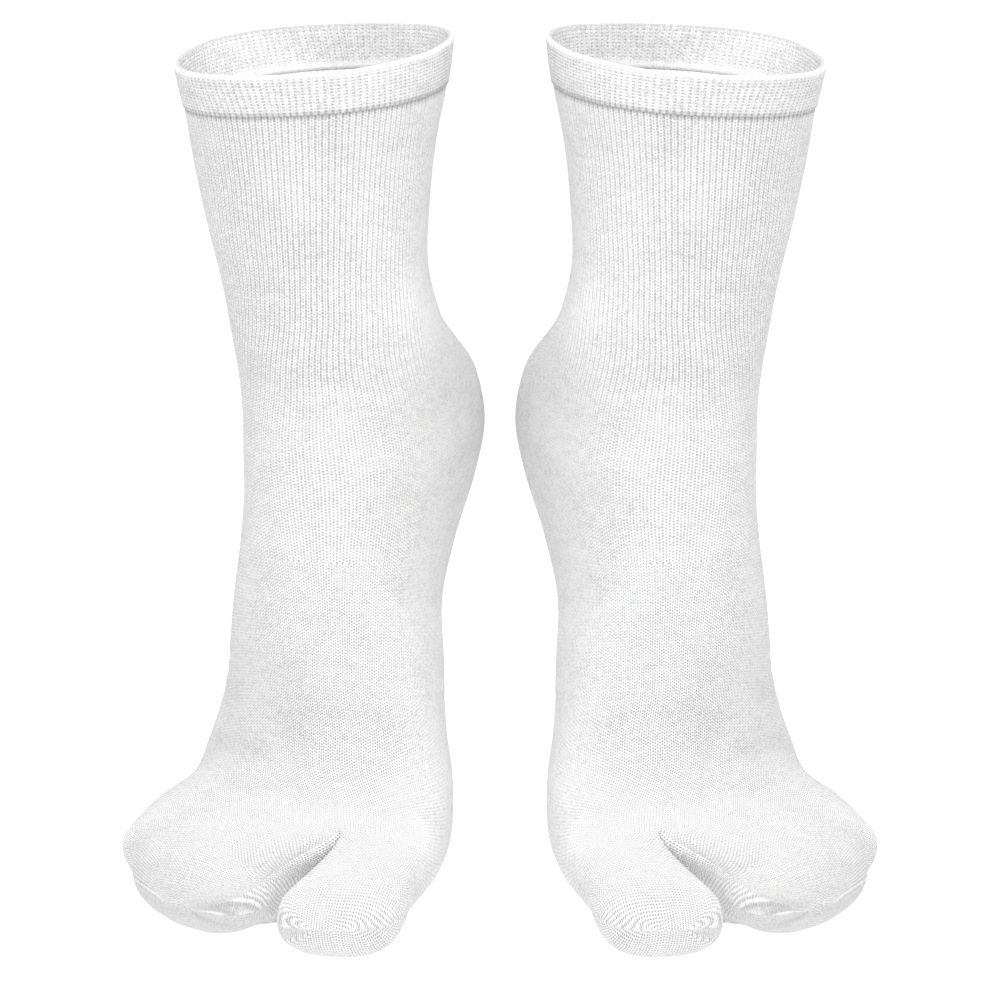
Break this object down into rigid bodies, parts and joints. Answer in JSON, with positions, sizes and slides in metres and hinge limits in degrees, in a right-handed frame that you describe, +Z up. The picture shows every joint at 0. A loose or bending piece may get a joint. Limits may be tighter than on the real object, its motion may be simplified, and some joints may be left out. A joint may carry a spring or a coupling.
{
  "type": "pair of tabi socks",
  "caption": "Split-toe crew socks in fine white cotton knit, hollow worn shape with raised heels, toes turned out and a turned band round each open cuff.",
  "frame": {"origin": "midway between the two cuffs and level with their rims, where the wearer's lower legs hold the socks up", "axes": "+Z up along the legs, toes towards -Y, X = 0 the middle plane between the socks; the right sock is on the -X side"},
  "size_m": [0.2202, 0.1839, 0.2404],
  "materials": {
    "right_sock_knit": "matt fine-gauge cotton knit",
    "right_welt_knit": "matt doubled cotton knit with a turned edge",
    "left_sock_knit": "matt fine-gauge cotton knit",
    "left_welt_knit": "matt doubled cotton knit with a turned edge"
  },
  "bodies": {
    "root": {"right_sock": "right_sock_knit", "right_welt": "right_welt_knit", "left_sock": "left_sock_knit", "left_welt": "left_welt_knit"}
  },
  "joints": []
}
